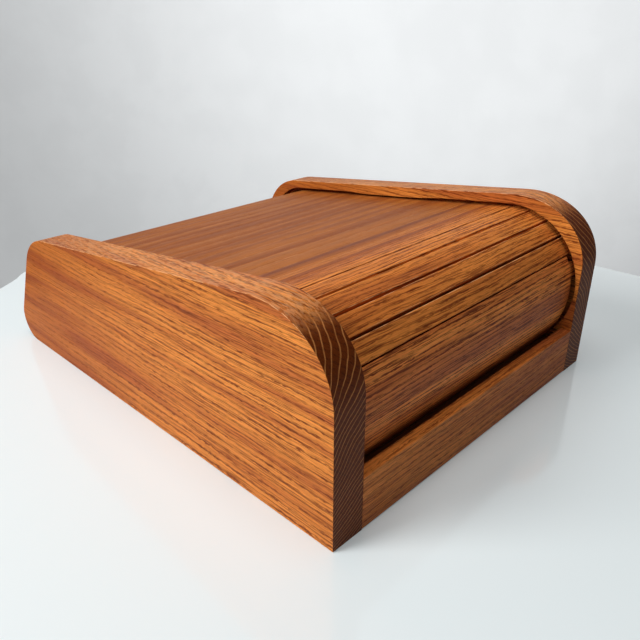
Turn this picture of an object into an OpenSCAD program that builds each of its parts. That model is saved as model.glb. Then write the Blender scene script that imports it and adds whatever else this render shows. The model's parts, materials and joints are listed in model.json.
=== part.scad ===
// Tambour lid box: two profiled end boards with a routed track, a slatted lid that runs in it,
// and rails, floor and inner back between them. Millimetres. +X across, +Y to the back, +Z up.
// The origin is the middle of the footprint.

/* [Case] */
// Width over both end boards
case_w = 236; // [210:1:330]
// Depth from the front edge to the roundest point of the back
case_d = 302; // [300:1:304]
// Height of the sharp corner that the top and front edges would make
side_h = 113; // [112:0.5:116]
// Thickness of each end board
side_t = 19; // [16:0.5:24]
// Downward slope of the top edge and of the lid, in degrees
top_slope = 7.1; // [6.8:0.1:7.4]
// Lean of the back edge from the vertical, in degrees
back_lean = 29; // [26:1:32]
// Length of the front curve along the top edge
front_curve_y = 51.6; // [46:0.2:56]
// Length of the front curve down the front edge
front_curve_z = 44; // [40:0.5:48]
// Radius of the upper back corner
back_top_r = 38; // [30:1:42]
// Radius of the lower back corner
back_low_r = 14.5; // [12:0.5:17]

/* [Lid] */
// Thickness of a slat
slat_t = 5; // [4.5:0.1:5.4]
// Distance from one slat to the next, measured along the cloth
pitch = 11.2; // [11.1:0.05:11.3]
// Open joint between two slats
joint_gap = 0.25; // [0.2:0.01:0.4]
// Slats that lie on the front curve
front_slats = 4; // [4:1:4]
// Slats that lie on the straight top
top_slats = 17; // [17:1:17]
// Slats that lie on the back curve
tail_slats = 4; // [3:1:4]
// Slats that pass the end of the straight when the lid opens
passing_slats = 4; // [4:1:4]
// Drop from the end boards' top edge to the slats' faces
lid_drop = 8.6; // [8.2:0.1:9]
// Distance of the front curve's centre behind the front edge
front_turn_y = 48; // [47:0.1:49]
// Radius of the front curve at the slats' faces
front_turn_r = 43; // [42.5:0.1:43.5]
// Radius of the back curve at the slats' faces
back_turn_r = 34; // [33.5:0.1:34.2]
// Thickness of the lead bar
lead_t = 12; // [10:0.5:14]
// Radius of the lead bar's fuller face below the front curve's centre
lead_belly_r = 57; // [50:1:60]
// Gap between the lead bar and the floor when the lid is shut
lead_gap = 0.3; // [0.2:0.1:1]
// Thickness of the cloth under the slats
cloth_t = 0.6; // [0.4:0.1:0.8]

/* [Track] */
// Depth of the track in each end board
track_depth = 6.5; // [5:0.5:8]
// Play under the slats along the straight
track_under = 0.3; // [0.2:0.05:0.5]
// Play over the slats along the straight
track_over = 1.6; // [1:0.1:2]
// Extra width of the track on the inside of the curves
ease_in = 2.6; // [2.4:0.1:3]
// Extra width of the track on the outside of the curves
ease_out = 2.7; // [2.5:0.1:3]
// Play between the end of a slat and the bottom of the track
end_play = 1; // [0.5:0.1:2]

/* [Rails and boards] */
// Height of the front rail's top above the table
front_rail_top = 29; // [27:0.5:31]
// Thickness of the front rail's lip
rail_lip = 6.5; // [5:0.5:8]
// Thickness of the front rail's foot
rail_foot = 19; // [16:0.5:20]
// Height of the back rail's top above the table
back_rail_top = 34; // [30:0.5:34]
// Thickness of the back rail at the height of its top
back_rail_t = 15; // [12:0.5:15.5]
// Gap between the rails and the table
rail_lift = 0.5; // [0.3:0.1:2]
// Thickness of the floor
floor_t = 6.35; // [5:0.05:6.4]
// Height of the floor's lower face
floor_z = 14; // [13.5:0.1:14]
// Depth of the floor's housing in the end boards
floor_housing = 4; // [3:0.5:6]
// Thickness of the inner back board
inner_back_t = 9.5; // [6:0.5:10]
// Distance of the inner back board's front face from the front edge
inner_back_y = 226; // [200:1:227]
// Height of the inner back board's top above the table
inner_back_top = 66; // [50:0.5:66]

/* [Dowels] */
// Diameter of a dowel
dowel_d = 6; // [5:0.5:7]
// Length of a dowel
dowel_l = 30; // [24:1:36]
// Glue line round a dowel
dowel_fit = 0.05; // [0.02:0.01:0.1]
// Depth of a dowel's hole in the end board
dowel_in_side = 12; // [8:0.5:14]

/* [Hidden] */
$fn = 96;
cut = 0.01;                                  // overlap that keeps a cut clean
glue = 0.02;                                 // glue line between the cloth and the wood
body_play = 0.5;                             // play between the lead bar and each end board
inner_w = case_w - 2*side_t;
slat_count = front_slats + top_slats + tail_slats;
slat_w = pitch - joint_gap;
slat_l = inner_w + 2*(track_depth - end_play);
floor_top = floor_z + floor_t;
front_cloth_r = front_turn_r - slat_t;       // the cloth is the line that keeps its length
back_cloth_r = back_turn_r - slat_t;
front_step = 2*asin(pitch/2/front_cloth_r);  // turn of one slat round each curve
back_step = 2*asin(pitch/2/back_cloth_r);
straight = top_slats*pitch;
slope_dir = [cos(top_slope), -sin(top_slope)];
slope_up = [sin(top_slope), cos(top_slope)];
top_line = slope_up[1]*side_h;               // distance of the top edge's line from the origin
front_turn_z = (top_line - lid_drop - front_turn_r - slope_up[0]*front_turn_y)/slope_up[1];
front_turn = [front_turn_y, front_turn_z];
straight_start = front_turn + front_cloth_r*slope_up;
straight_end = straight_start + straight*slope_dir;
back_turn = straight_end - back_cloth_r*slope_up;
ease_run = (passing_slats + 0.5)*pitch;      // reach of the widened track along the straight
lead_hi = top_slope - front_slats*front_step - arc_turn(joint_gap/2);   // the lead bar's two edges
lead_lo = -90 - asin((front_turn_z - floor_top - lead_gap)/front_turn_r);
lead_thin_w = 11;                            // rebate for the cloth along the lead bar's upper edge
tongue_w = 8;                                // width of each of the lead bar's end tongues
tongue_skin = 0.05;                          // setback of a tongue's faces from the bar's faces
tongue_in = 3.6;                             // setback of the tongues from the bar's two edges
track_end_play = 1;                          // play below the lower tongue when the lid is shut
cloth_w = inner_w - 4;
cloth_strip = pitch - 0.6;
slat_ease = 0.5;                             // eased edges on the slats' faces
lower_run_front = 26;                        // front end of the track under the floor
front_dowel = [12, 7.5];
back_dowels = [[case_d - 17, 9], [case_d - 17, 24]];
inner_dowels = [[inner_back_y + inner_back_t/2, 33], [inner_back_y + inner_back_t/2, 53]];

// turn round the front curve that covers a length of cloth
function arc_turn(l) = 2*asin(l/2/front_cloth_r);

function slat_name(k) = str("slat_", k < 10 ? "0" : "", k);
function cloth_name(k) = str("cloth_", k < 10 ? "0" : "", k);
function on_front(k) = k <= front_slats;
function on_tail(k) = k > front_slats + top_slats;
// slats that need a strip of cloth of their own, because they turn one by one
function passes(k) = on_front(k) || (!on_tail(k) && k > front_slats + top_slats - passing_slats);

passing = [for (k = [1:slat_count]) if (passes(k)) k];

// ---- curves and points in the end boards' plane, as [y, z] ----

// a point on a circle, with the angle counted from straight up towards the back
function turn_point(c, r, a) = c + r*[sin(a), cos(a)];

// a soft corner: leaves the line at a times u, and meets the other line at b times v
function soft_corner(p, u, a, v, b, n = 36) =
    [for (i = [0:n]) let (s = 90*i/n) p + u*a*(1 - sin(s)) + v*b*(1 - cos(s))];

// where two lines meet, each given by its normal and its distance from the origin
function crossing(n1, d1, n2, d2) =
    [d1*n2[1] - d2*n1[1], n1[0]*d2 - n2[0]*d1]/(n1[0]*n2[1] - n1[1]*n2[0]);

back_out = [cos(back_lean), sin(back_lean)];
low_centre = [case_d - back_low_r, back_low_r];
back_line = low_centre*back_out + back_low_r;
top_centre = crossing(slope_up, top_line - back_top_r, back_out, back_line - back_top_r);
outline_points = concat(
    [[0, 0]],
    soft_corner([0, side_h], [0, -1], front_curve_z, slope_dir, front_curve_y),
    [for (i = [0:16]) turn_point(top_centre, back_top_r, top_slope + (90 - back_lean - top_slope)*i/16)],
    [for (i = [0:16]) turn_point(low_centre, back_low_r, 90 - back_lean + (90 + back_lean)*i/16)]);

module outline() polygon(outline_points);

// ---- helpers ----

// draws a [y, z] shape as a board from x = from, of the given thickness
module across(from, thick)
    translate([from, -case_d/2, 0])
        rotate([90, 0, 90])
            linear_extrude(thick) children();

// part of a ring, from angle a0 to a1, both counted from straight up towards the back
module ring_part(c, r_in, r_out, a0, a1) {
    far = 3*r_out;
    mid = (a0 + a1)/2;
    translate(c) intersection() {
        difference() {
            circle(r_out);
            circle(r_in);
        }
        if (a1 - a0 < 170)
            polygon([[0, 0], turn_point([0, 0], far, a0), turn_point([0, 0], far, mid),
                     turn_point([0, 0], far, a1)]);
        else
            polygon([[0, 0], turn_point([0, 0], far, a0), turn_point([0, 0], far, (a0 + mid)/2),
                     turn_point([0, 0], far, mid), turn_point([0, 0], far, (mid + a1)/2),
                     turn_point([0, 0], far, a1)]);
    }
}

// ---- the track that both end boards carry ----

// stations along the cloth line: [point, way outwards, share of the ease outside, share inside]
ease_ramp = 2*pitch;
front_end = lead_lo + arc_turn(tongue_in - track_end_play);
track_stations = concat(
    [for (i = [0:48]) let (a = front_end + (top_slope - front_end)*i/48)
        [turn_point(front_turn, front_cloth_r, a), [sin(a), cos(a)], 1, 1]],
    [for (s = [ease_run, ease_run + ease_ramp, straight - ease_run - ease_ramp, straight - ease_run])
        let (share = s > ease_run && s < straight - ease_run ? 0 : 1)
            [straight_start + s*slope_dir, slope_up, share, share]],
    [for (i = [0:44]) let (a = top_slope + (180 - top_slope)*i/44)
        [turn_point(back_turn, back_cloth_r, a), [sin(a), cos(a)], min(1, max(0, (150 - a)/30)), 1]],
    [for (y = [back_turn[0] - pitch, back_turn[0] - pitch - ease_ramp, lower_run_front])
        [[y, back_turn[1] - back_cloth_r], [0, -1], 0, y < back_turn[0] - pitch - cut ? 0 : 0.5]]);

module track() {
    last = len(track_stations) - 1;
    polygon(concat(
        [for (t = track_stations) t[0] + t[1]*(slat_t + track_over + t[2]*(ease_out - track_over))],
        [for (i = [0:last]) let (t = track_stations[last - i])
            t[0] - t[1]*(track_under + t[3]*(ease_in - track_under))]));
}

module dowel_holes(places, from, deep)
    for (p = places)
        across(from, deep) translate(p) circle(d = dowel_d + 2*dowel_fit);

// ---- the case ----

// x where a cut of the given depth into an end board's inner face starts
function cut_from(inner_x, out, deep) = out > 0 ? inner_x - cut : inner_x - deep;

// one end board; inner_x is where its inner face lies, and out is the way to its outer face
module side_board(inner_x, out) {
    color("chocolate") difference() {
        across(out > 0 ? inner_x : inner_x - side_t, side_t) outline();
        across(cut_from(inner_x, out, track_depth), track_depth + cut) track();
        across(cut_from(inner_x, out, floor_housing), floor_housing + cut)
            translate([rail_lip, floor_z]) square([inner_back_y + inner_back_t - rail_lip, floor_t]);
        dowel_holes(concat([front_dowel], back_dowels, inner_dowels),
                    cut_from(inner_x, out, dowel_in_side), dowel_in_side + cut);
    }
}

module side_left() side_board(-inner_w/2, -1);
module side_right() side_board(inner_w/2, 1);

// a rail's hole for the other half of a dowel, at both ends
module rail_holes(places) {
    deep = dowel_l - dowel_in_side + 1;
    for (x = [-inner_w/2 - cut, inner_w/2 - deep])
        dowel_holes(places, x, deep + cut);
}

// L-shaped rail: the lip hides the lead bar's lower edge, and the foot carries the floor
module front_rail() color("peru") difference() {
    across(-inner_w/2, inner_w) {
        translate([0, rail_lift]) square([rail_lip, front_rail_top - rail_lift]);
        translate([0, rail_lift]) square([rail_foot, floor_z - rail_lift]);
    }
    rail_holes([front_dowel]);
}

// rail that follows the end boards' back edge, planed flush with them
module back_rail() color("peru") difference() {
    inner_face = (back_line - back_out[1]*back_rail_top)/back_out[0] - back_rail_t;
    across(-inner_w/2, inner_w) intersection() {
        outline();
        translate([inner_face, rail_lift]) square([case_d, back_rail_top - rail_lift]);
    }
    rail_holes(back_dowels);
}

module floor_panel() color("burlywood")
    across(-inner_w/2 - floor_housing, inner_w + 2*floor_housing)
        translate([rail_lip, floor_z]) square([inner_back_y + inner_back_t - rail_lip, floor_t]);

module inner_back() color("peru") difference() {
    across(-inner_w/2, inner_w)
        translate([inner_back_y, floor_top]) square([inner_back_t, inner_back_top - floor_top]);
    rail_holes(inner_dowels);
}

// dowels at both ends of a rail, half in the rail and half in the end board
module dowels(places) color("tan")
    for (x = [-inner_w/2 - dowel_in_side + dowel_fit, inner_w/2 + dowel_in_side - dowel_fit - dowel_l],
         p = places)
        across(x, dowel_l) translate(p) circle(d = dowel_d);

// ---- the lid ----

// corner where the lower faces of slat k - 1 and slat k meet; slat 1 follows the lead bar
function joint_point(k) =
    k < front_slats ? turn_point(front_turn, front_cloth_r, top_slope - (front_slats - k)*front_step) :
    k <= front_slats + top_slats ? straight_start + (k - front_slats)*pitch*slope_dir :
    turn_point(back_turn, back_cloth_r, top_slope + (k - front_slats - top_slats)*back_step);

// places a shape drawn on the x axis so that it lies under or over slat k
module at_slat(k) {
    a = joint_point(k - 1);
    b = joint_point(k);
    translate((a + b)/2) rotate(atan2(b[1] - a[1], b[0] - a[0])) children();
}

// one slat: a strip with its outer edges eased
module slat(k) color("sandybrown")
    across(-slat_l/2, slat_l) at_slat(k)
        polygon([[-slat_w/2, 0], [slat_w/2, 0], [slat_w/2, slat_t - slat_ease],
                 [slat_w/2 - slat_ease/2, slat_t], [-slat_w/2 + slat_ease/2, slat_t],
                 [-slat_w/2, slat_t - slat_ease]]);

// strip of cloth glued to the underside of one slat
module cloth(k) color("dimgray")
    across(-cloth_w/2, cloth_w) at_slat(k)
        translate([-cloth_strip/2, -cloth_t]) square([cloth_strip, cloth_t - glue]);

module cloth_top() color("dimgray") {
    first = (pitch - cloth_strip)/2;
    run = (top_slats - passing_slats)*pitch - (pitch - cloth_strip);
    across(-cloth_w/2, cloth_w)
        translate(straight_start) rotate(-top_slope)
            translate([first, -cloth_t]) square([run, cloth_t - glue]);
}

module cloth_tail()
    for (k = [front_slats + top_slats + 1:slat_count]) cloth(k);

// the lead bar's section: its face follows the front curve and then a fuller one, a flat closes on
// the floor, and the back is thinned along the upper edge for the cloth
lead_thin = lead_hi - arc_turn(lead_thin_w);
belly_centre = front_turn + [lead_belly_r - front_turn_r, 0];
belly_sweep = asin((front_turn_z - floor_top - lead_gap)/lead_belly_r);
lead_points = concat(
    [for (i = [0:12]) turn_point(front_turn, front_turn_r, lead_hi - (90 + lead_hi)*i/12)],
    [for (i = [1:16]) turn_point(belly_centre, lead_belly_r, -90 - belly_sweep*i/16)],
    [turn_point(front_turn, front_turn_r, lead_lo)],
    [for (i = [0:24]) turn_point(front_turn, front_turn_r - lead_t, lead_lo + (lead_thin - lead_lo)*i/24)],
    [for (i = [0:8]) turn_point(front_turn, front_cloth_r, lead_thin + (lead_hi - lead_thin)*i/8)]);

// the lead bar, with two short tongues at each end that run in the track
module lead_bar() color("sienna") {
    across(-inner_w/2 + body_play, inner_w - 2*body_play) polygon(lead_points);
    for (x = [-slat_l/2, inner_w/2 - body_play - cut],
         a = [lead_lo + arc_turn(tongue_in), lead_hi - arc_turn(tongue_in + tongue_w)])
        across(x, (slat_l - inner_w)/2 + body_play + cut)
            ring_part(front_turn, front_cloth_r + tongue_skin, front_turn_r - tongue_skin, a, a + arc_turn(tongue_w));
}

// the cloth's front end, glued into the lead bar's rebate
module cloth_lead() color("dimgray")
    across(-cloth_w/2, cloth_w)
        ring_part(front_turn, front_cloth_r - cloth_t - glue, front_cloth_r - 2*glue,
                  lead_thin + 0.5, lead_hi - 0.5);

side_left();
side_right();
front_rail();
back_rail();
floor_panel();
inner_back();
dowels([front_dowel]);  // front_rail_dowels
dowels(back_dowels);  // back_rail_dowels
dowels(inner_dowels);  // inner_back_dowels
lead_bar();
cloth_lead();
cloth_top();
cloth_tail();
for (k = [1:slat_count]) slat(k);
for (k = passing) cloth(k);
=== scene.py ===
"""Dresses the tambour lid box: oak boards and rails, a slatted lid on cloth, and a plain studio."""

import json
import logging
import math
from collections.abc import Iterable, Sequence
from dataclasses import dataclass, replace
from enum import Enum

import bmesh
import bpy
from bpy.types import Material, Mesh, Node, NodeSocket, NodeTree, Object
from mathutils import Matrix, Vector


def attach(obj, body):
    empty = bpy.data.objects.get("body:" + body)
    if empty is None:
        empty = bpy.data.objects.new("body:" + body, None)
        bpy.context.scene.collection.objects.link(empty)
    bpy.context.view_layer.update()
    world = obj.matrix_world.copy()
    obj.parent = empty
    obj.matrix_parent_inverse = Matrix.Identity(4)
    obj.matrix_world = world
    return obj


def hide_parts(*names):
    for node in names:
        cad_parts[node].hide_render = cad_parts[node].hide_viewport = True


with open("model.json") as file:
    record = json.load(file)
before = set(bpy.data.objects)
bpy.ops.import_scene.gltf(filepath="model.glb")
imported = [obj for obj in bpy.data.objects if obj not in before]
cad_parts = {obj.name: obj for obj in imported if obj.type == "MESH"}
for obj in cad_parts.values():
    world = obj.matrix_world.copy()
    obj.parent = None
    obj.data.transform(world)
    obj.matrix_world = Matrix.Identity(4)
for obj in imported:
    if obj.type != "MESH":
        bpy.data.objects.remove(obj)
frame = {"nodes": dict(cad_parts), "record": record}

log = logging.getLogger("tambour_box")

MM = 0.001
GRAIN_MAP = "grain_place"
# Attribute that marks the pale edges: partly wear, partly a painted highlight.
WORN_AND_HIGHLIT = "worn_and_highlit"
NOISE_ROUGHNESS = 0.55

Colour = tuple[float, float, float]
Triple = tuple[float, float, float]
Pair = tuple[float, float]


class Run(Enum):
    """The way the grain runs in a piece, as the order in which its axes are read."""

    ACROSS_BOX = (0, 1, 2)
    FRONT_TO_BACK = (1, 2, 0)


@dataclass(frozen=True)
class Value:
    """A graph's number socket that builds its Math nodes from plain arithmetic."""

    graph: "Graph"
    socket: NodeSocket

    def __add__(self, other: "Value | float") -> "Value":
        """Sum of two values."""
        return self.graph.maths("ADD", self, other)

    __radd__ = __add__

    def __sub__(self, other: "Value | float") -> "Value":
        """This value less another."""
        return self.graph.maths("SUBTRACT", self, other)

    def __rsub__(self, other: float) -> "Value":
        """A number less this value."""
        return self.graph.maths("SUBTRACT", other, self)

    def __mul__(self, other: "Value | float") -> "Value":
        """Product of two values."""
        return self.graph.maths("MULTIPLY", self, other)

    def __truediv__(self, other: "Value | float") -> "Value":
        """This value divided by another."""
        return self.graph.maths("DIVIDE", self, other)

    def fract(self) -> "Value":
        """Fractional part."""
        return self.graph.maths("FRACT", self)

    def root(self) -> "Value":
        """Square root."""
        return self.graph.maths("SQRT", self)

    def size(self) -> "Value":
        """Absolute value."""
        return self.graph.maths("ABSOLUTE", self)

    def turn(self, other: "Value | float") -> "Value":
        """Angle of this value over another, in radians."""
        return self.graph.maths("ARCTAN2", self, other)

    def between(self, low: float, high: float) -> "Value":
        """Stretches a value that goes from 0 to 1, so that it goes from low to high."""
        return self * (high - low) + low

    def off_middle(self) -> "Value":
        """How far the fractional part lies from its middle, from 0 to a half."""
        return (self.fract() - 0.5).size()

    def rise(self, low: float, high: float) -> "Value":
        """Smooth step from 0 at low to 1 at high.

        Args:
            low: where the step starts.
            high: where the step ends; it may lie below low.

        Returns:
            The step's value.
        """
        start, end, a, b = (low, high, 0.0, 1.0) if low < high else (high, low, 1.0, 0.0)
        node = self.graph.node(
            "ShaderNodeMapRange",
            {"interpolation_type": "SMOOTHSTEP"},
            {"Value": self, "From Min": start, "From Max": end, "To Min": a, "To Max": b},
        )
        return Value(self.graph, node.outputs["Result"])


@dataclass(frozen=True)
class Speckle:
    """One noise: its cells along three directions in millimetres, and the step that is cut from it.

    The shift keeps it apart from the other noises.
    """

    cells: Triple
    shift: float
    octaves: float = 1.0
    step: Pair = (0.0, 1.0)

    def sized(self, first: float, second: float) -> "Speckle":
        """The same noise with its first two cell sizes changed."""
        return replace(self, cells=(first, second, self.cells[2]))


class Graph:
    """Builds one material's node graph."""

    def __init__(self, name: str) -> None:
        """Starts an empty material.

        Args:
            name: the material's name.
        """
        self.material = bpy.data.materials.new(name)
        self.material.use_nodes = True
        self.tree = self.material.node_tree
        self.tree.nodes.clear()

    def node(
        self,
        kind: str,
        settings: dict[str, object] | None = None,
        sockets: dict[str | int, object] | None = None,
    ) -> Node:
        """Adds a node, sets it up and fills or links its sockets.

        Args:
            kind: the node's type name.
            settings: the node's own properties.
            sockets: an input's name or index, and a number, tuple, Value or output socket for it.

        Returns:
            The new node.
        """
        made = self.tree.nodes.new(kind)
        for key, value in (settings or {}).items():
            setattr(made, key, value)
        for key, value in (sockets or {}).items():
            target = made.inputs[key]
            if isinstance(value, Value):
                value = value.socket
            if isinstance(value, NodeSocket):
                self.tree.links.new(value, target)
            else:
                target.default_value = value
        return made

    def maths(self, operation: str, *operands: "Value | float") -> Value:
        """Adds a Math node.

        Args:
            operation: its operation.
            operands: its inputs, in order.

        Returns:
            The node's result.
        """
        made = self.node("ShaderNodeMath", {"operation": operation}, dict(enumerate(operands)))
        return Value(self, made.outputs[0])

    def split(self, vector: NodeSocket) -> tuple[Value, Value, Value]:
        """Takes a vector socket apart into its three numbers."""
        parts = self.node("ShaderNodeSeparateXYZ", None, {0: vector})
        return tuple(Value(self, out) for out in parts.outputs)

    def noise(self, place: Sequence[Value], speckle: Speckle) -> Value:
        """Noise with its own cell size along each axis.

        Args:
            place: the three coordinates, in millimetres.
            speckle: which noise.

        Returns:
            The noise, from 0 to 1 round a middle of 0.5.
        """
        scaled = [
            axis / cell + speckle.shift * (i + 1)
            for i, (axis, cell) in enumerate(zip(place, speckle.cells))
        ]
        joined = self.node("ShaderNodeCombineXYZ", None, dict(enumerate(scaled)))
        made = self.node(
            "ShaderNodeTexNoise",
            {"noise_dimensions": "3D"},
            {
                "Vector": joined.outputs[0],
                "Scale": 1.0,
                "Detail": speckle.octaves,
                "Roughness": NOISE_ROUGHNESS,
            },
        )
        return Value(self, made.outputs["Fac"])

    def wander(self, place: Sequence[Value], speckle: Speckle) -> Value:
        """Noise round a middle of 0."""
        return self.noise(place, speckle) - 0.5

    def patches(self, place: Sequence[Value], speckle: Speckle) -> Value:
        """Noise cut to patches of 1 on a ground of 0, by its step."""
        return self.noise(place, speckle).rise(*speckle.step)

    def blend(
        self, share: "Value | float", low: object, high: object, mode: str = "MIX"
    ) -> NodeSocket:
        """Mixes two colours.

        Args:
            share: how much of the second colour shows.
            low: the first colour, as a tuple or a socket.
            high: the second colour.
            mode: the blend mode.

        Returns:
            The mixed colour's socket.
        """
        made = self.node(
            "ShaderNodeMix",
            {"data_type": "RGBA", "blend_type": mode},
            {0: share, 6: _opaque(low), 7: _opaque(high)},
        )
        return made.outputs[2]

    def finish(self, shader: NodeSocket) -> Material:
        """Connects the surface and returns the material.

        Args:
            shader: the surface's shader socket.

        Returns:
            The finished material.
        """
        self.node("ShaderNodeOutputMaterial", None, {"Surface": shader})
        return self.material


def _opaque(colour: object) -> object:
    """Gives a plain colour its alpha and leaves a socket as it is."""
    return (*colour, 1.0) if isinstance(colour, tuple) and len(colour) == 3 else colour


def darker(colour: Colour, share: float) -> Colour:
    """The colour with this share of its light."""
    return tuple(part * share for part in colour)


@dataclass(frozen=True)
class Stripe:
    """A dark stripe in the figure: its place and half width across the grain in millimetres."""

    place: float
    half: float
    strength: float


@dataclass(frozen=True)
class Fade:
    """Where the figure grows calm and a painted shade darkens the wood.

    It gives an axis of the wood, the two places on it between which the figure fades, the share of
    the figure that is left, and the tint of the painted shade there.
    """

    axis: int
    bold: float
    calm: float
    left: float
    painted_shade_tint: Colour


@dataclass(frozen=True)
class Growth:
    """How oak grows in every piece alike.

    Cells run along the grain, across the rings and round them, and for the rays the other way
    about. The strong lines' second cell is counted in rings, and the threads and pores take their
    first two cells from the oak.
    """

    sway: Speckle = Speckle((110.0, 34.0, 34.0), 3.0)
    sway_inwards: float = 0.4
    ripple: Speckle = Speckle((15.0, 5.0, 5.0), 7.0)
    fibre: Speckle = Speckle((24.0, 0.5, 1.0), 11.0, 2.0)
    tone: Pair = (0.54, 1.46)
    ragged: Speckle = Speckle((4.0, 0.7, 3.0), 29.0)
    ragged_share: float = 0.6
    early_starts: Pair = (0.0, 0.1)
    early_ends: Pair = (0.4, 0.14)
    strong: Speckle = Speckle((26.0, 1.3, 14.0), 5.0, 1.0, (0.36, 0.56))
    weakest_line: float = 0.25
    thread: Speckle = Speckle((38.0, 0.5, 6.0), 2.0, 2.0, (0.53, 0.62))
    pore: Speckle = Speckle((6.0, 0.5, 0.6), 0.0, 1.0, (0.51, 0.62))
    weakest_pore: float = 0.35
    broad: Speckle = Speckle((230.0, 8.0, 24.0), 17.0)
    middle_band: Pair = (0.33, 0.62)
    ruddy_band: Pair = (0.5, 0.66)
    stripe_sway: float = 3.0
    stripe_core: float = 0.25
    ray_drift: Speckle = Speckle((9.0, 15.0, 9.0), 13.0)
    ray_drift_share: float = 0.7
    ray_edge: Pair = (0.13, 0.04)
    ray_breaks: Speckle = Speckle((1.6, 13.0, 6.0), 19.0, 1.0, (0.4, 0.58))
    weakest_ray: float = 0.6
    # Patches of the pale edge: partly wear, partly a painted highlight.
    rub_and_highlight: Speckle = Speckle((9.0, 0.9, 1.1), 23.0, 2.0, (0.41, 0.56))


@dataclass(frozen=True)
class CutEnd:
    """How much the pores, rings and rays show on end grain, and how dark the first two are."""

    pores: float = 0.7
    pore_shade: float = 0.4
    rings: float = 0.4
    ring_shade: float = 0.5
    rays: float = 0.9


@dataclass(frozen=True)
class Relief:
    """The wood's fine relief, and what it adds to the roughness."""

    fibre: float = 0.4
    pore: float = 0.8
    thread: float = 0.4
    strength: float = 0.3
    reach: float = 0.3 * MM
    pore_rough: float = 0.15
    fibre_rough: float = 0.12


@dataclass(frozen=True)
class Lie:
    """A point's place in the wood in millimetres, and how its face is turned.

    The last two are 1 on an end-grain face, and from -1 to 1 how far the face looks up.
    """

    along: Value
    across: Value
    deep: Value
    facing: Value
    upright: Value


@dataclass(frozen=True)
class Figure:
    """What the figure is made of at a point of the wood."""

    wood: tuple[Value, Value, Value]
    sway: Value
    ripple: Value
    fibre: Value
    lines: Value
    early: Value
    thread: Value
    pores: Value
    broad: Value
    calm: Value | None
    bold: Value | float


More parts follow.
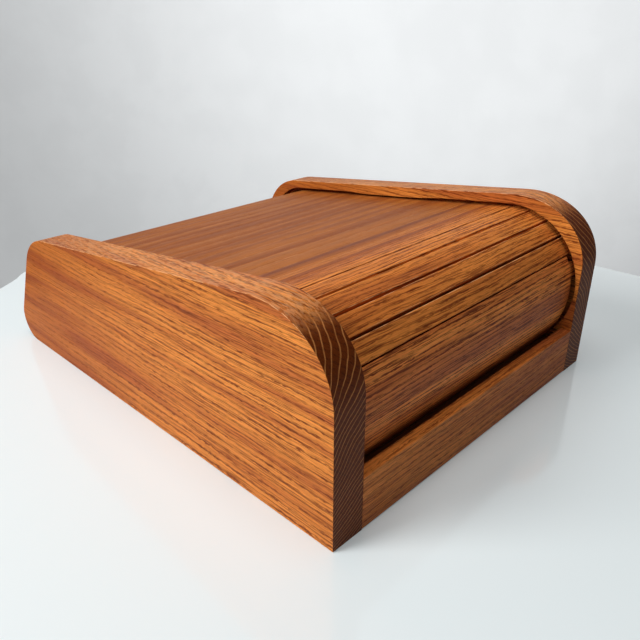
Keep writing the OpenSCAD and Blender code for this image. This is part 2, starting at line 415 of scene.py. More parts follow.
@dataclass(frozen=True)
class Oak:
    """Oiled red oak, cut so that its growth rings cross the piece at a slant.

    The pattern fills space: a face along the grain shows long wavy lines and dashes of pores, and a
    cut across it shows dark end grain with thin pale rays, as on the real board. Sizes are in
    millimetres. The rings lie round the heart, which is given across and into the wood. Lines,
    threads, pores and bands say how much of each shows. The three turns are where a face starts to
    count, and fully counts, as cut across the grain, as looking up and as looking down.
    """

    name: str
    run: Run
    pale: Colour
    middle: Colour
    dark: Colour
    ruddy: Colour = (0.47, 0.125, 0.035)
    pore: Colour = (0.15, 0.032, 0.008)
    end: Colour = (0.14, 0.026, 0.003)
    end_ray: Colour = (0.55, 0.21, 0.06)
    # Colour of the pale edges: partly wear, partly a painted highlight.
    worn_and_highlit: Colour = (1.0, 0.52, 0.24)
    heart: Pair = (-35.0, 193.0)
    ring: float = 2.6
    ray_pitch: float = 4.2
    sway: float = 7.0
    ripple: float = 1.0
    lines: float = 0.95
    threads: float = 0.6
    thread_size: Pair = (38.0, 0.5)
    pores: float = 0.7
    pore_size: Pair = (6.0, 0.5)
    bands: float = 0.5
    stripes: tuple[Stripe, ...] = ()
    fade: Fade | None = None
    # How much pale edge shows on marked edges and on all faces that look up: partly wear, partly a
    # painted highlight.
    wear_and_highlight: float = 0.9
    rubbed_and_highlit: float = 0.0
    rough: float = 0.48
    gloss: float = 0.12
    # Painted shade on faces that look down, and how dark it is.
    painted_under_shade: float = 0.0
    under_shade: float = 0.2
    mapped: bool = False
    mirrored: bool = False
    end_turn: Pair = (0.2, 0.62)
    up_turn: Pair = (0.25, 0.65)
    down_turn: Pair = (-0.25, -0.6)
    growth: Growth = Growth()
    cut: CutEnd = CutEnd()
    relief: Relief = Relief()

    def material(self) -> Material:
        """Builds the wood.

        Returns:
            The material, in the piece's own coordinates.
        """
        g = Graph(self.name)
        lie = self._lie(g)
        figure = self._figure(g, lie)
        colour = g.blend(lie.facing, self._long_grain(g, lie, figure), self._end_grain(g, figure))
        tone = {"Value": figure.fibre.between(*self.growth.tone), "Color": colour}
        toned = g.node("ShaderNodeHueSaturation", None, tone)
        relief = self.relief
        height = figure.fibre * relief.fibre - figure.pores * relief.pore
        height = height - figure.thread * relief.thread
        depth = {"Strength": relief.strength, "Distance": relief.reach, "Height": height}
        bump = g.node("ShaderNodeBump", None, depth)
        rough = self.rough + figure.pores * relief.pore_rough
        shader = g.node(
            "ShaderNodeBsdfPrincipled",
            None,
            {
                "Base Color": self._paint_wear_highlight_and_shade(g, lie, figure, toned.outputs["Color"]),
                "Roughness": rough + (figure.fibre - 0.5) * relief.fibre_rough,
                "Normal": bump.outputs[0],
                "Specular IOR Level": self.gloss,
            },
        )
        return g.finish(shader.outputs[0])

    def _lie(self, g: Graph) -> Lie:
        """Reads the place in the wood and how a face lies.

        Args:
            g: the material's graph.

        Returns:
            The place and the turn.
        """
        coords = g.node("ShaderNodeTexCoord")
        source = coords.outputs["Object"]
        if self.mapped:
            source = g.node("ShaderNodeAttribute", {"attribute_name": GRAIN_MAP}).outputs["Vector"]
        to_mm = {"Vector": source, "Scale": (1 / MM,) * 3}
        scaled = g.node("ShaderNodeMapping", {"vector_type": "POINT"}, to_mm)
        place, normal = g.split(scaled.outputs[0]), g.split(coords.outputs["Normal"])
        along, across, deep = (place[i] for i in self.run.value)
        if self.mirrored:
            deep = deep.size()
        facing = normal[self.run.value[0]].size().rise(*self.end_turn)
        return Lie(along, across, deep, facing, normal[2])

    def _figure(self, g: Graph, lie: Lie) -> Figure:
        """Works out the rings, pores and bands.

        Args:
            g: the material's graph.
            lie: the place in the wood.

        Returns:
            The figure.
        """
        growth, place = self.growth, (lie.along, lie.across, lie.deep)
        sway, ripple = g.wander(place, growth.sway), g.wander(place, growth.ripple)
        level = lie.across + sway * self.sway + ripple * self.ripple - self.heart[0]
        depth = lie.deep + sway * (self.sway * growth.sway_inwards) - self.heart[1]
        radius = (level * level + depth * depth).root()
        wood = (lie.along, radius, level.turn(depth) * math.hypot(*self.heart))
        calm, bold = None, 1.0
        if self.fade:
            calm = place[self.fade.axis].rise(self.fade.bold, self.fade.calm)
            bold = 1.0 - calm * (1.0 - self.fade.left)
        phase = (radius / self.ring + g.wander(wood, growth.ragged) * growth.ragged_share).fract()
        early = phase.rise(*growth.early_ends) * phase.rise(*growth.early_starts)
        cells = growth.strong.cells
        strong = g.patches(wood, growth.strong.sized(cells[0], self.ring * cells[1]))
        thread = g.patches(wood, growth.thread.sized(*self.thread_size)) * bold
        pores = g.patches(wood, growth.pore.sized(*self.pore_size))
        return Figure(
            wood=wood,
            sway=sway,
            ripple=ripple,
            fibre=g.noise(wood, growth.fibre),
            lines=early * strong.between(growth.weakest_line, 1.0) * bold,
            early=early,
            thread=thread,
            pores=pores * early.between(growth.weakest_pore, 1.0),
            broad=g.noise(wood, growth.broad),
            calm=calm,
            bold=bold,
        )

    def _long_grain(self, g: Graph, lie: Lie, figure: Figure) -> NodeSocket:
        """Colours the faces along the grain.

        Args:
            g: the material's graph.
            lie: the place in the wood.
            figure: the figure there.

        Returns:
            The colour's socket.
        """
        growth = self.growth
        colour = g.blend(figure.broad.rise(*growth.middle_band), self.pale, self.middle)
        colour = g.blend(figure.broad.rise(*growth.ruddy_band) * self.bands, colour, self.ruddy)
        for stripe in self.stripes:
            course = lie.across + figure.sway * growth.stripe_sway + figure.ripple - stripe.place
            share = course.size().rise(stripe.half, stripe.half * growth.stripe_core)
            colour = g.blend(share * stripe.strength, colour, self.ruddy)
        # Painted shade: darkens the wood where the figure calms.
        if figure.calm:
            colour = g.blend(figure.calm, colour, self.fade.painted_shade_tint, "MULTIPLY")
        colour = g.blend(figure.lines * self.lines, colour, self.dark)
        colour = g.blend(figure.thread * self.threads, colour, self.dark)
        return g.blend(figure.pores * figure.bold * self.pores, colour, self.pore)

    def _end_grain(self, g: Graph, figure: Figure) -> NodeSocket:
        """Colours the faces cut across the grain.

        Args:
            g: the material's graph.
            figure: the figure.

        Returns:
            The colour's socket.
        """
        growth, cut = self.growth, self.cut
        along, radius, swing = figure.wood
        place = (swing, radius, along)
        drift = g.noise(place, growth.ray_drift) * growth.ray_drift_share
        spoke = (swing / self.ray_pitch + drift).off_middle().rise(*growth.ray_edge)
        ray = spoke * g.patches(place, growth.ray_breaks).between(growth.weakest_ray, 1.0)
        colour = g.blend(figure.pores * cut.pores, self.end, darker(self.end, cut.pore_shade))
        colour = g.blend(figure.early * cut.rings, colour, darker(self.end, cut.ring_shade))
        return g.blend(ray * cut.rays, colour, self.end_ray)

    def _paint_wear_highlight_and_shade(self, g: Graph, lie: Lie, figure: Figure, colour: NodeSocket) -> NodeSocket:
        """Adds the pale edges, partly wear and partly a painted highlight where the face looks up,
        and a painted shade on faces that look down where a piece has one.

        Args:
            g: the material's graph.
            lie: the place in the wood and the face's turn.
            figure: the figure.
            colour: the wood's colour.

        Returns:
            The new colour's socket.
        """
        mark = Value(g, g.node("ShaderNodeAttribute", {"attribute_name": WORN_AND_HIGHLIT}).outputs["Fac"])
        # Pale edges on faces that look up: partly wear, partly a painted highlight.
        upward = lie.upright.rise(*self.up_turn)
        rub_and_highlight = g.patches(figure.wood, self.growth.rub_and_highlight) * upward * (1.0 - lie.facing)
        colour = g.blend((mark + self.rubbed_and_highlit) * rub_and_highlight * self.wear_and_highlight, colour, self.worn_and_highlit)
        # Painted shade on faces that look down.
        if self.painted_under_shade:
            share = lie.upright.rise(*self.down_turn) * self.painted_under_shade
            colour = g.blend(share, colour, darker(self.dark, self.under_shade))
        return colour


@dataclass(frozen=True)
class Cloth:
    """Dark woven canvas, seen only from under the lid."""

    name: str = "lid_canvas"
    thread: Colour = (0.05, 0.04, 0.03)
    gap: Colour = (0.012, 0.01, 0.008)
    pitch: float = 0.9
    thread_edge: Pair = (0.42, 0.1)
    relief: float = 0.4
    reach: float = 0.2 * MM
    rough: float = 0.9
    gloss: float = 0.2

    def material(self) -> Material:
        """Builds the weave from two sets of crossing threads.

        Returns:
            The material.
        """
        g = Graph(self.name)
        coords = g.node("ShaderNodeTexCoord")
        x, y, z = (part / MM for part in g.split(coords.outputs["Object"]))
        warp = (x / self.pitch).off_middle().rise(*self.thread_edge)
        weft = ((y + z) / self.pitch).off_middle().rise(*self.thread_edge)
        over = g.maths("MAXIMUM", warp, weft)
        depth = {"Strength": self.relief, "Distance": self.reach, "Height": over}
        bump = g.node("ShaderNodeBump", None, depth)
        shader = g.node(
            "ShaderNodeBsdfPrincipled",
            None,
            {
                "Base Color": g.blend(over, self.gap, self.thread),
                "Roughness": self.rough,
                "Normal": bump.outputs[0],
                "Specular IOR Level": self.gloss,
            },
        )
        return g.finish(shader.outputs[0])


@dataclass(frozen=True)
class Backdrop:
    """A plain stage surface that keeps its colour in the camera's eye and still takes shadows.

    The bright spot and the reach over which its light falls off are in metres.
    """

    name: str
    colour: Colour
    glow: float
    rough: float = 0.5
    gloss: float = 0.5
    mottle: float = 0.0
    mottle_shade: float = 0.86
    cloud: Speckle = Speckle((110.0, 110.0, 110.0), 0.0, 5.0, (0.4, 0.62))
    bright_spot: Triple | None = None
    reach: Pair = (0.0, 1.0)
    far_shade: float = 0.6

    def material(self) -> Material:
        """Builds the surface.

        Returns:
            The material.
        """
        g = Graph(self.name)
        coords = g.node("ShaderNodeTexCoord")
        place = tuple(part / MM for part in g.split(coords.outputs["Object"]))
        share = g.patches(place, self.cloud) * self.mottle
        colour = g.blend(share, self.colour, darker(self.colour, self.mottle_shade))
        if self.bright_spot:
            x, y, z = (axis - spot / MM for axis, spot in zip(place, self.bright_spot))
            near, far = (end / MM for end in self.reach)
            off = (x * x + y * y + z * z).root().rise(near, far)
            colour = g.blend(off, colour, (self.far_shade,) * 3, "MULTIPLY")
        diffuse = g.node(
            "ShaderNodeBsdfPrincipled",
            None,
            {"Base Color": colour, "Roughness": self.rough, "Specular IOR Level": self.gloss},
        )
        light = g.node("ShaderNodeEmission", None, {"Color": colour, "Strength": self.glow})
        eye = g.node("ShaderNodeLightPath")
        rays = (Value(g, eye.outputs[ray]) for ray in ("Is Camera Ray", "Is Glossy Ray"))
        seen = g.maths("MAXIMUM", *rays)
        both = g.node("ShaderNodeAddShader", None, {0: diffuse.outputs[0], 1: light.outputs[0]})
        mixed = g.node(
            "ShaderNodeMixShader", None, {0: seen, 1: diffuse.outputs[0], 2: both.outputs[0]}
        )
        return g.finish(mixed.outputs[0])


def dress(piece: Object, finish: Material) -> None:
    """Gives a piece one finish all over.

    Args:
        piece: the piece.
        finish: its material.
    """
    piece.data.materials.clear()
    piece.data.materials.append(finish)


def new_piece(name: str, mesh: Mesh) -> Object:
    """Links a mesh into the scene as a piece at the origin.

    Args:
        name: the piece's name.
        mesh: its mesh, in the box's own frame.

    Returns:
        The piece.
    """
    piece = bpy.data.objects.new(name, mesh)
    bpy.context.scene.collection.objects.link(piece)
    return piece


def soften(mesh: Mesh, degrees: float = 30.0) -> None:
    """Shades a mesh smooth, apart from its true corners.

    Args:
        mesh: the mesh.
        degrees: the turn from which an edge counts as a corner.
    """
    mesh.polygons.foreach_set("use_smooth", [True] * len(mesh.polygons))
    mesh.set_sharp_from_angle(angle=math.radians(degrees))


@dataclass(frozen=True)
class Easing:
    """Rounds the sharp edges of a wooden node's copy, by a reach in millimetres.

    Points less than weld millimetres apart and faces that turn less than flat degrees are joined
    first, and edges that turn more than corner degrees are eased.
    """

    reach: float
    corner: float = 35.0
    flat: float = 0.4
    weld: float = 0.002
    rounds: int = 3

    def copy(self, node: str, name: str) -> Object:
        """Copies a node, joins its loose faces and rounds its sharp edges.

        Args:
            node: the node to copy.
            name: the new piece's name.

        Returns:
            The piece.
        """
        body = bmesh.new()
        body.from_mesh(frame["nodes"][node].data)
        wear_and_highlight = body.loops.layers.float.new(WORN_AND_HIGHLIT)
        bmesh.ops.remove_doubles(body, verts=body.verts, dist=self.weld * MM)
        bmesh.ops.dissolve_limit(
            body,
            angle_limit=math.radians(self.flat),
            use_dissolve_boundaries=False,
            verts=body.verts,
            edges=body.edges,
            delimit=set(),
        )
        sharp = [
            edge
            for edge in body.edges
            if len(edge.link_faces) == 2 and edge.calc_face_angle(0.0) > math.radians(self.corner)
        ]
        strips = bmesh.ops.bevel(
            body,
            geom=sharp,
            offset=self.reach * MM,
            offset_type="OFFSET",
            segments=self.rounds,
            profile=0.5,
            affect="EDGES",
            clamp_overlap=True,
        )
        # Marks the rounded strips for the pale edge: partly wear, partly a painted highlight.
        for strip in strips["faces"]:
            for loop in strip.loops:
                loop[wear_and_highlight] = 1.0
        mesh = bpy.data.meshes.new(name)
        body.to_mesh(mesh)
        body.free()
        soften(mesh)
        piece = new_piece(name, mesh)
        weigh = piece.modifiers.new("even_faces", "WEIGHTED_NORMAL")
        weigh.keep_sharp = True
        return piece


@dataclass
class LidPath:
    """The line of the cloth: front curve, straight top and back curve, in the box's own frame."""

    depth: float = 302.0
    slope: float = 7.1
    pitch: float = 11.2
    slat_thick: float = 5.0
    front_centre: Pair = (48.0, 55.02)
    front_radius: float = 38.0
    back_radius: float = 29.0
    front_slats: int = 4
    top_slats: int = 17

    def __post_init__(self) -> None:
        """Works out the straight's two ends and the back curve's centre."""
        turn = math.radians(self.slope)
        self.forward = Vector((math.cos(turn), -math.sin(turn)))
        self.up = Vector((math.sin(turn), math.cos(turn)))
        self.start = Vector(self.front_centre) + self.up * self.front_radius
        self.end = self.start + self.forward * self.pitch * self.top_slats
        self.back_centre = self.end - self.up * self.back_radius
        self.front_step = 2 * math.degrees(math.asin(self.pitch / 2 / self.front_radius))
        self.back_step = 2 * math.degrees(math.asin(self.pitch / 2 / self.back_radius))

    @staticmethod
    def round(centre: Sequence[float], radius: float, degrees: float) -> Vector:
        """A point on a curve, its angle counted from straight up towards the back."""
        turn = math.radians(degrees)
        return Vector(centre) + radius * Vector((math.sin(turn), math.cos(turn)))

    def steps(self, number: int) -> int:
        """How many slats a joint lies behind the start of the straight."""
        return number - self.front_slats

    def joint(self, number: int) -> Vector:
        """The corner behind a slat's lower face.

        Args:
            number: the slat in front of the joint; 0 is the lead bar.

        Returns:
            The point, as depth and height in millimetres from the front edge.
        """
        steps = self.steps(number)
        if steps < 0:
            turn = self.slope + steps * self.front_step
            return self.round(self.front_centre, self.front_radius, turn)
        past = steps - self.top_slats
        if past <= 0:
            return self.start + self.forward * self.pitch * steps
        return self.round(self.back_centre, self.back_radius, self.slope + past * self.back_step)

    def place(self, x: float, point: Sequence[float]) -> Vector:
        """Turns a place across the box and a point in the side view into metres in its frame."""
        return Vector((x, point[0] - self.depth / 2, point[1])) * MM


@dataclass(frozen=True)
class Section:
    """A slat's open joint and how far its upper edges are rounded, in millimetres."""

    gap: float
    front: float
    rear: float


@dataclass
class SlatTree:
    """Geometry nodes that lay one slat on each point of a run, turned to the path."""

    path: LidPath
    length: float = 209.0
    corner_steps: int = 4
    sharp_from: float = 40.0

    def section(self, shape: Section) -> Object:
        """Makes one slat, lying along X with its lower face's middle at the origin.

        Args:
            shape: the slat's joint and edges.

        Returns:
            A scratch object that holds the slat.
        """
        half, top = (self.path.pitch - shape.gap) / 2, self.path.slat_thick
        turns = [math.pi / 2 * step / self.corner_steps for step in range(self.corner_steps + 1)]
        curls = [(1 - math.cos(t), 1 - math.sin(t)) for t in turns]
        outline = [(-half, 0.0), (half, 0.0)]
        outline += [(half - shape.rear * a, top - shape.rear * b) for a, b in curls]
        outline += [(-half + shape.front * b, top - shape.front * a) for a, b in curls]
        body = bmesh.new()
        wear_and_highlight = body.loops.layers.float.new(WORN_AND_HIGHLIT)
        ends = [
            [body.verts.new((x * MM, y * MM, z * MM)) for y, z in outline]
            for x in (-self.length / 2, self.length / 2)
        ]
        count = len(outline)
        for i in range(count):
            j = (i + 1) % count
            strip = body.faces.new((ends[0][i], ends[1][i], ends[1][j], ends[0][j]))
            (y0, z0), (y1, z1) = outline[i], outline[j]
            # Marks the upper edges for the pale edge: partly wear, partly a painted highlight.
            if z0 > 0 and z1 > 0 and abs(y0 - y1) < half:
                for loop in strip.loops:
                    loop[wear_and_highlight] = 1.0
        body.faces.new(ends[0])
        body.faces.new(list(reversed(ends[1])))
        bmesh.ops.recalc_face_normals(body, faces=body.faces)
        mesh = bpy.data.meshes.new("slat_section")
        body.to_mesh(mesh)
        body.free()
        soften(mesh, self.sharp_from)
        return bpy.data.objects.new("slat_section", mesh)

    def build(self, finish: Material) -> NodeTree:
        """Builds the tree.

        Each slat keeps its own coordinates and is told how many slats it lies from the start of the
        straight, so that the grain's map runs on from slat to slat.

        Args:
            finish: the slats' material.

        Returns:
            The node group.
        """
        tree = bpy.data.node_groups.new("lay_slats", "GeometryNodeTree")
        for name, way, kind in (
            ("Geometry", "INPUT", "Geometry"),
            ("Slat", "INPUT", "Object"),
            ("Pitch", "INPUT", "Float"),
            ("Geometry", "OUTPUT", "Geometry"),
        ):
            tree.interface.new_socket(name, in_out=way, socket_type="NodeSocket" + kind)
        made: dict[str, Node] = {}

        def add(key: str, kind: str, name: str | None = None, **own: object) -> None:
            """Adds one node under a short name.

            Args:
                key: the short name.
                kind: the node's type name.
                name: the attribute that it reads or stores.
                own: its own properties.
            """
            made[key] = tree.nodes.new(kind)
            for setting, value in own.items():
                setattr(made[key], setting, value)
            if name:
                made[key].inputs["Name"].default_value = name

        read, store = "GeometryNodeInputNamedAttribute", "GeometryNodeStoreNamedAttribute"
        vector, number = "FLOAT_VECTOR", "FLOAT"
        add("start", "NodeGroupInput")
        add("slat", "GeometryNodeObjectInfo")
        add("spot", "GeometryNodeInputPosition")
        add("local", store, "local", data_type=vector, domain="POINT")
        add("turn", read, "turn", data_type=vector)
        add("lay", "GeometryNodeInstanceOnPoints")
        add("steps", read, "steps", data_type=number)
        add("tell", store, "steps", data_type=number, domain="INSTANCE")
        add("real", "GeometryNodeRealizeInstances")
        add("back", read, "local", data_type=vector)
        add("told", read, "steps", data_type=number)
        add("cut", "ShaderNodeSeparateXYZ")
        add("reach", "ShaderNodeMath", operation="MULTIPLY")
        add("sum", "ShaderNodeMath", operation="ADD")
        add("join", "ShaderNodeCombineXYZ")
        add("map", store, GRAIN_MAP, data_type=vector, domain="POINT")
        add("skin", "GeometryNodeSetMaterial")
        made["skin"].inputs["Material"].default_value = finish
        add("end", "NodeGroupOutput")
        for source, out, target, into in (
            ("start", "Slat", "slat", "Object"),
            ("slat", "Geometry", "local", "Geometry"),
            ("spot", "Position", "local", "Value"),
            ("start", "Geometry", "lay", "Points"),
            ("local", "Geometry", "lay", "Instance"),
            ("turn", "Attribute", "lay", "Rotation"),
            ("lay", "Instances", "tell", "Geometry"),
            ("steps", "Attribute", "tell", "Value"),
            ("tell", "Geometry", "real", "Geometry"),
            ("back", "Attribute", "cut", 0),
            ("told", "Attribute", "reach", 0),
            ("start", "Pitch", "reach", 1),
            ("cut", 1, "sum", 0),
            ("reach", 0, "sum", 1),
            ("cut", 0, "join", 0),
            ("sum", 0, "join", 1),
            ("cut", 2, "join", 2),
            ("real", "Geometry", "map", "Geometry"),
            ("join", 0, "map", "Value"),
            ("map", "Geometry", "skin", "Geometry"),
            ("skin", "Geometry", "end", "Geometry"),
        ):
            tree.links.new(made[source].outputs[out], made[target].inputs[into])
        return tree

    def run(self, name: str, slats: Iterable[int], tree: NodeTree, section: Object) -> Object:
        """Lays the slats of one moving body and turns them into a plain mesh.

        Args:
            name: the piece's name.
            slats: the slats' numbers, counted from the lead bar.
            tree: the tree that lays them.
            section: the object that holds one slat.

        Returns:
            The piece.
        """
        numbers = list(slats)
        corners = [(self.path.joint(k - 1), self.path.joint(k)) for k in numbers]
        mesh = bpy.data.meshes.new(name + "_points")
        mesh.from_pydata([self.path.place(0.0, (a + b) / 2) for a, b in corners], [], [])
        lean = [math.atan2(b.y - a.y, b.x - a.x) for a, b in corners]
        turns = mesh.attributes.new("turn", "FLOAT_VECTOR", "POINT")
        turns.data.foreach_set("vector", [v for angle in lean for v in (angle, 0.0, 0.0)])
        steps = mesh.attributes.new("steps", "FLOAT", "POINT")
        steps.data.foreach_set("value", [self.path.steps(k) - 0.5 for k in numbers])
        points = new_piece(name + "_points", mesh)
        layer = points.modifiers.new("slats", "NODES")
        layer.node_group = tree
        wanted = {s.name: s.identifier for s in tree.interface.items_tree if s.in_out == "INPUT"}
        layer[wanted["Slat"]] = section
        layer[wanted["Pitch"]] = self.path.pitch * MM
        bpy.context.view_layer.update()
        graph = bpy.context.evaluated_depsgraph_get()
        result = bpy.data.meshes.new_from_object(
            points.evaluated_get(graph), preserve_all_data_layers=True, depsgraph=graph
        )
        result.name = name
        points.modifiers.remove(layer)
        bpy.data.objects.remove(points)
        return new_piece(name, result)


@dataclass
class Finishes:
    """Every finish on the box."""

    board: Oak = Oak(
        "end_board_oak",
        Run.FRONT_TO_BACK,
        pale=(0.82, 0.282, 0.053),
        middle=(0.64, 0.192, 0.035),
        dark=(0.22, 0.042, 0.008),
        ruddy=(0.5, 0.12, 0.032),
        threads=0.72,
        bands=0.7,
        # Painted shade: the board darkens towards the back.
        fade=Fade(0, -70.0, 140.0, 0.45, (0.62, 0.5, 0.42)),
        # Pale patches on the board's upper faces: partly wear, partly a painted highlight.
        rubbed_and_highlit=0.34,
        mirrored=True,
    )
    back_rail: Oak = Oak(
        "back_rail_oak",
        Run.ACROSS_BOX,
        pale=(0.8, 0.265, 0.055),
        middle=(0.6, 0.165, 0.032),
        dark=(0.25, 0.05, 0.01),
        heart=(60.0, -70.0),
        lines=0.7,
        wear_and_highlight=0.3,
    )
    front_rail: Oak = replace(
        back_rail, name="rail_oak", heart=(-60.0, -90.0), sway=12.0, bands=0.8
    )
    lid: Oak = Oak(
        "lid_oak",
        Run.ACROSS_BOX,
        pale=(0.8, 0.262, 0.05),
        middle=(0.66, 0.19, 0.034),
        dark=(0.2, 0.037, 0.007),
        ruddy=(0.34, 0.085, 0.032),
        pore=(0.1, 0.02, 0.005),
        pores=0.5,
        pore_size=(8.0, 0.38),
        heart=(-160.0, -120.0),
        ring=2.2,
        sway=5.0,
        lines=0.75,
        threads=0.75,
        thread_size=(28.0, 0.55),
        bands=0.3,
        stripes=(Stripe(15.4, 2.4, 0.75), Stripe(30.5, 3.0, 0.7)),
        # Painted shade: the flat darkens towards the back, where its figure calms.
        fade=Fade(1, 0.0, 34.0, 0.3, (0.56, 0.54, 0.56)),
        wear_and_highlight=0.5,
        rough=0.5,
        mapped=True,
    )
    lead: Oak = Oak(
        "lead_bar_oak",
        Run.ACROSS_BOX,
        pale=(1.0, 0.34, 0.078),
        middle=(0.8, 0.235, 0.05),
        dark=(0.15, 0.026, 0.005),
        ruddy=(0.52, 0.12, 0.03),
        pore=(0.1, 0.018, 0.004),
        pores=0.5,
        pore_size=(8.0, 0.38),
        heart=(-130.0, -160.0),
        sway=5.0,
        lines=1.0,
        threads=0.85,
        thread_size=(26.0, 0.65),
        bands=0.7,
        wear_and_highlight=0.4,
        rough=0.46,
        gloss=0.14,
        # Painted shade on the bar's underside, above the gap to the rail.
        painted_under_shade=0.65,
    )
    inner: Oak = Oak(
        "inner_oak",
        Run.ACROSS_BOX,
        pale=(0.5, 0.2, 0.07),
        middle=(0.42, 0.14, 0.045),
        dark=(0.27, 0.08, 0.025),
        heart=(40.0, -210.0),
        wear_and_highlight=0.0,
    )
    cloth: Cloth = Cloth()


@dataclass
class EndBoards:
    """The two profiled boards that carry the track."""

    finish: Material
    easing: Easing = Easing(0.75)

    def build(self) -> list[Object]:
        """Builds both boards over their solids.

        Returns:
            The two pieces.
        """
        made = []
        for node in ("side_left", "side_right"):
            piece = self.easing.copy(node, node + "_board")
            dress(piece, self.finish)
            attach(piece, "case")
            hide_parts(node)
            made.append(piece)
        return made


@dataclass
class Frame:
    """Rails, inner boards and the dowels inside them."""

    rails: dict[str, Material]
    inner: Material
    rail_easing: Easing = Easing(0.5)
    inner_easing: Easing = Easing(0.3)
    boards: tuple[str, ...] = ("floor_panel", "inner_back")
    dowels: tuple[str, ...] = ("front_rail_dowels", "back_rail_dowels", "inner_back_dowels")

    def build(self) -> list[Object]:
        """Builds the rails and inner boards with eased edges, and dresses the dowels.

        Returns:
            The new pieces.
        """
        made = []
        for node in (*self.rails, *self.boards):
            is_rail = node in self.rails
            easing = self.rail_easing if is_rail else self.inner_easing
            piece = easing.copy(node, node + "_wood")
            dress(piece, self.rails.get(node, self.inner))
            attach(piece, "case")
            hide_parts(node)
            made.append(piece)
        for node in self.dowels:
            dress(frame["nodes"][node], self.inner)
        return made


@dataclass
class Lid:
    """The lead bar, the slats and the cloth.

    The four slats of the front curve have their own edges, by their number, and all the others are
    tight and almost square.
    """

    path: LidPath
    slat_finish: Material
    lead_finish: Material
    cloth_finish: Material
    easing: Easing = Easing(0.5)
    flat: Section = Section(0.05, 0.1, 0.1)
    curved: tuple[Section, ...] = (
        Section(0.1, 0.45, 0.45),
        Section(0.1, 0.45, 0.4),
        Section(0.1, 0.4, 0.15),
        Section(0.1, 0.15, 0.1),
    )

    def bodies(self) -> dict[str, list[int]]:
        """Reads from the frame which slats move together.

        Returns:
            Each moving body's name and its slats' numbers.
        """
        groups = frame["record"]["behaviour"]["bodies"]
        return {
            body: sorted(int(n[-2:]) for n in nodes if n.startswith("slat_"))
            for body, nodes in groups.items()
            if any(n.startswith("slat_") for n in nodes)
        }

    def build(self) -> list[Object]:
        """Builds the whole lid.

        Returns:
            The new pieces.
        """
        laying = SlatTree(self.path)
        tree = laying.build(self.slat_finish)
        flat = laying.section(self.flat)
        curved = {i: laying.section(shape) for i, shape in enumerate(self.curved, start=1)}
        made = []
        for body, numbers in self.bodies().items():
            section = curved.get(numbers[0], flat)
            piece = laying.run(body + "_slats", numbers, tree, section)
            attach(piece, body)
            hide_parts(*(f"slat_{k:02d}" for k in numbers))
            made.append(piece)
        for section in (*curved.values(), flat):
            bpy.data.objects.remove(section)
        bar = self.easing.copy("lead_bar", "lead_bar_wood")
        dress(bar, self.lead_finish)
        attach(bar, "lead")
        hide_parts("lead_bar")
        for node, piece in frame["nodes"].items():
            if node.startswith("cloth_"):
                dress(piece, self.cloth_finish)
        return [*made, bar]


@dataclass(frozen=True)
class Lamp:
    """A soft round lamp: its name, place in metres, power in watts and width in metres."""

    name: str
    place: Triple
    power: float
    size: float
    target: Triple = (0.0, 0.0, 0.05)

    def hang(self) -> None:
        """Hangs the lamp, aimed at the box and not mirrored in the table."""
        data = bpy.data.lights.new(self.name, "AREA")
        data.energy, data.size, data.shape = self.power, self.size, "DISK"
        lamp = bpy.data.objects.new(self.name, data)
        lamp.location = self.place
        lamp.visible_glossy = False
        lamp.rotation_mode = "QUATERNION"
        aim = Vector(self.target) - Vector(self.place)
        lamp.rotation_quaternion = aim.to_track_quat("-Z", "Y")
        bpy.context.scene.collection.objects.link(lamp)


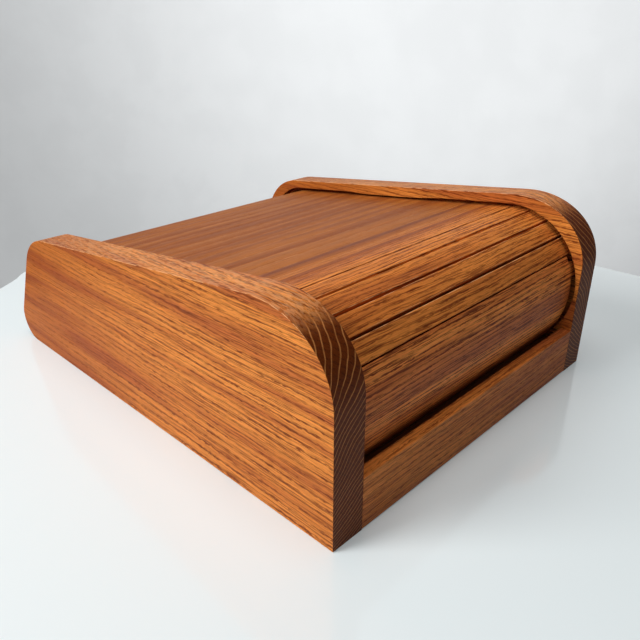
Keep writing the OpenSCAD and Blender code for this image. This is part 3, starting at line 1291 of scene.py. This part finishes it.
@dataclass
class Studio:
    """Camera, lamps, table, floor and wall.

    The lens, the sensor, the table and the floor are in millimetres, and the rest is in metres. The
    camera's turn is a rotation vector from the box's frame to the camera's.
    """

    lens: float = 36.79
    sensor: float = 36.0
    clip: Pair = (0.01, 20.0)
    eye: Triple = (-0.2726681, -0.2946022, 0.2129152)
    turn: Triple = (1.89402868, -0.798772202, 0.500671773)
    table: Backdrop = Backdrop("white_table", (0.76, 0.822, 0.832), 0.14, rough=0.1, gloss=1.0)
    table_top: float = -0.2
    table_edge: tuple[tuple[int, int], ...] = (
        (-420, 60), (-250, 165), (-99, 249), (-68, 272), (-28, 286), (12, 276), (58, 250),
        (107, 217), (156, 181), (201, 139), (238, 91), (267, 39), (288, -16), (297, -70),
        (301, -120), (298, -220), (270, -400), (120, -640), (-200, -760), (-520, -640),
        (-640, -350), (-600, -60),
    )  # fmt: skip
    edge_steps: int = 6
    floor: Backdrop = Backdrop("room_floor", (0.6, 0.6, 0.6), 0.3, 0.8)
    floor_top: float = -760.0
    floor_radius: float = 3000.0
    floor_sides: int = 96
    wall: Backdrop = Backdrop(
        "pale_wall",
        (0.6, 0.615, 0.622),
        1.05,
        rough=0.8,
        mottle=0.2,
        bright_spot=(1.34, 0.7, 0.35),
        reach=(0.3, 1.5),
        far_shade=0.5,
    )
    wall_middle: Triple = (0.95, 1.05, 0.0)
    wall_way: Triple = (0.74, -0.67, 0.0)
    wall_half: float = 4.0
    wall_heights: Pair = (-1.2, 3.0)
    lamps: tuple[Lamp, ...] = (
        Lamp("window", (-1.25, 0.5, 0.95), 22.0, 0.8),
        Lamp("overhead", (-0.25, -0.15, 1.5), 9.0, 1.0),
    )
    room: tuple[float, float, float, float] = (0.94, 0.97, 1.0, 1.0)
    room_light: float = 0.09

    def build(self) -> None:
        """Sets up the whole stage."""
        self._camera()
        edge = self._rounded(self.table_edge, self.edge_steps)
        self._plate("table", edge, self.table_top, self.table)
        turns = (2 * math.pi * i / self.floor_sides for i in range(self.floor_sides))
        rim = [(self.floor_radius * math.cos(a), self.floor_radius * math.sin(a)) for a in turns]
        self._plate("room_floor", rim, self.floor_top, self.floor)
        self._wall()
        for lamp in self.lamps:
            lamp.hang()
        self._room()

    def _camera(self) -> None:
        """Stands the camera where the photograph was taken from."""
        data = bpy.data.cameras.new("view")
        data.lens, data.sensor_width = self.lens, self.sensor
        data.clip_start, data.clip_end = self.clip
        spin = Vector(self.turn)
        to_view = Matrix.Rotation(spin.length, 3, spin.normalized())
        look = to_view.transposed() @ Matrix.Diagonal((1.0, -1.0, -1.0))
        camera = bpy.data.objects.new("view", data)
        camera.matrix_world = Matrix.Translation(self.eye) @ look.to_4x4()
        bpy.context.scene.collection.objects.link(camera)
        bpy.context.scene.camera = camera

    @staticmethod
    def _rounded(corners: Sequence[Sequence[float]], steps: int) -> list[Pair]:
        """Runs a smooth closed curve through a row of points.

        Args:
            corners: the points, in order round the outline.
            steps: points on the curve from one corner to the next.

        Returns:
            The curve's points.
        """
        curve = []
        count = len(corners)
        for i in range(count):
            a, b, c, d = (Vector(corners[(i + k - 1) % count]) for k in range(4))
            square, cube = a * 2 - b * 5 + c * 4 - d, b * 3 - a - c * 3 + d
            for step in range(steps):
                t = step / steps
                point = b * 2 + (c - a) * t + square * t**2 + cube * t**3
                curve.append((point.x / 2, point.y / 2))
        return curve

    @staticmethod
    def _plate(
        name: str, outline: Sequence[Sequence[float]], height: float, finish: Backdrop
    ) -> None:
        """Lays a flat plate on the stage, facing up.

        Args:
            name: its name.
            outline: its corners, in millimetres.
            height: its height, in millimetres.
            finish: its surface.
        """
        following = [*outline[1:], outline[0]]
        area = sum(a[0] * b[1] - b[0] * a[1] for a, b in zip(outline, following))
        corners = outline if area > 0 else outline[::-1]
        mesh = bpy.data.meshes.new(name)
        points = [Vector((x, y, height)) * MM for x, y in corners]
        mesh.from_pydata(points, [], [list(range(len(points)))])
        plate = new_piece(name, mesh)
        dress(plate, finish.material())

    def _wall(self) -> None:
        """Stands a pale wall behind the table, square to the view."""
        middle, way = Vector(self.wall_middle), Vector(self.wall_way).normalized()
        half, (low, high) = self.wall_half, self.wall_heights
        spots = ((-half, low), (half, low), (half, high), (-half, high))
        mesh = bpy.data.meshes.new("wall")
        corners = [middle + way * a + Vector((0, 0, b)) for a, b in spots]
        mesh.from_pydata(corners, [], [(0, 1, 2, 3)])
        wall = new_piece("wall", mesh)
        dress(wall, self.wall.material())

    def _room(self) -> None:
        """Fills the room with a weak even light."""
        world = bpy.data.worlds.new("room")
        bpy.context.scene.world = world
        world.use_nodes = True
        ground = world.node_tree.nodes["Background"]
        ground.inputs["Color"].default_value = self.room
        ground.inputs["Strength"].default_value = self.room_light


def main() -> None:
    """Builds the studio and the box."""
    logging.basicConfig(level=logging.INFO, format="%(name)s: %(message)s")
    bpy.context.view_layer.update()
    bpy.context.scene.view_settings.view_transform = "Standard"
    Studio().build()
    finishes = Finishes()
    made = EndBoards(finishes.board.material()).build()
    rails = {
        "front_rail": finishes.front_rail.material(),
        "back_rail": finishes.back_rail.material(),
    }
    made += Frame(rails, finishes.inner.material()).build()
    made += Lid(
        LidPath(), finishes.lid.material(), finishes.lead.material(), finishes.cloth.material()
    ).build()
    for piece in made:
        log.info("%s: %d faces", piece.name, len(piece.data.polygons))


if __name__ == "__main__":
    main()
